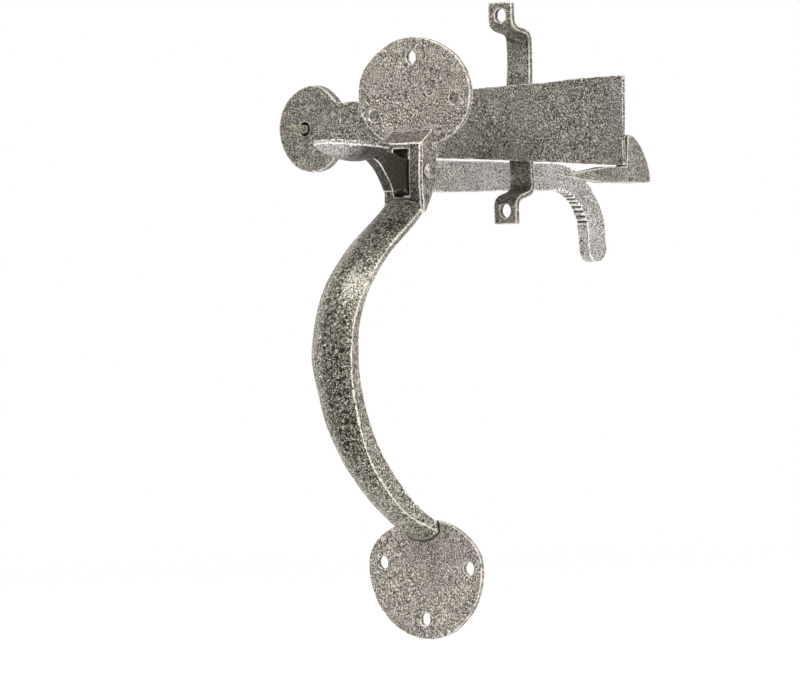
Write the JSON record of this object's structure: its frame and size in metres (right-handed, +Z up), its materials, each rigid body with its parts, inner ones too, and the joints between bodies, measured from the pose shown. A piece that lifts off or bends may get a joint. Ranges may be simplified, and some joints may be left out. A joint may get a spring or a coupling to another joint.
{
  "type": "thumb latch",
  "caption": "Forged iron thumb latch for a door or gate: grip handle with thumb lever, latch bar, guide staple and drive-in catch, fitted as on a closed door.",
  "frame": {"origin": "on the door's outer face, at the middle of the top plate's back", "axes": "+X to the right as seen from outside, +Y into the door and out on its room side, +Z up"},
  "size_m": [0.1848, 0.1731, 0.2586],
  "materials": {
    "handle_iron": "hammered, pewter grey patina, burnished edges",
    "lever_iron": "hammered, pewter grey patina, burnished edges",
    "rivet_iron": "hammered, worn bright",
    "bar_iron": "hammered, darker grey patina, burnished edges",
    "catch_iron": "hammered, pewter grey patina",
    "screw_iron": "dark olive grey patina, worn arrises"
  },
  "bodies": {
    "handle_and_door_fittings": {"top_plate": "handle_iron", "lever_box": "handle_iron", "grip_bow": "handle_iron", "bottom_plate": "handle_iron", "pivot_rivet": "rivet_iron", "guide_staple": "bar_iron", "drive_in_catch": "catch_iron", "bar_screw": "screw_iron"},
    "thumb_lever": {"thumb_lever": "lever_iron"},
    "latch_bar": {"latch_bar": "bar_iron"}
  },
  "joints": [
    {"name": "lever_pivot", "type": "hinge", "parent": "handle_and_door_fittings", "child": "thumb_lever", "pos_m": [0, -0.00475, -0.0293], "axis": [1, 0, 0], "range_deg": [0, 12]},
    {"name": "bar_pivot", "type": "hinge", "parent": "handle_and_door_fittings", "child": "latch_bar", "pos_m": [-0.094, 0.037, -0.0106], "axis": [0, -1, 0], "range_deg": [0, 6]}
  ],
  "couplings": [
    {"joint": "bar_pivot", "follows": "lever_pivot", "ratio": 0.5}
  ]
}
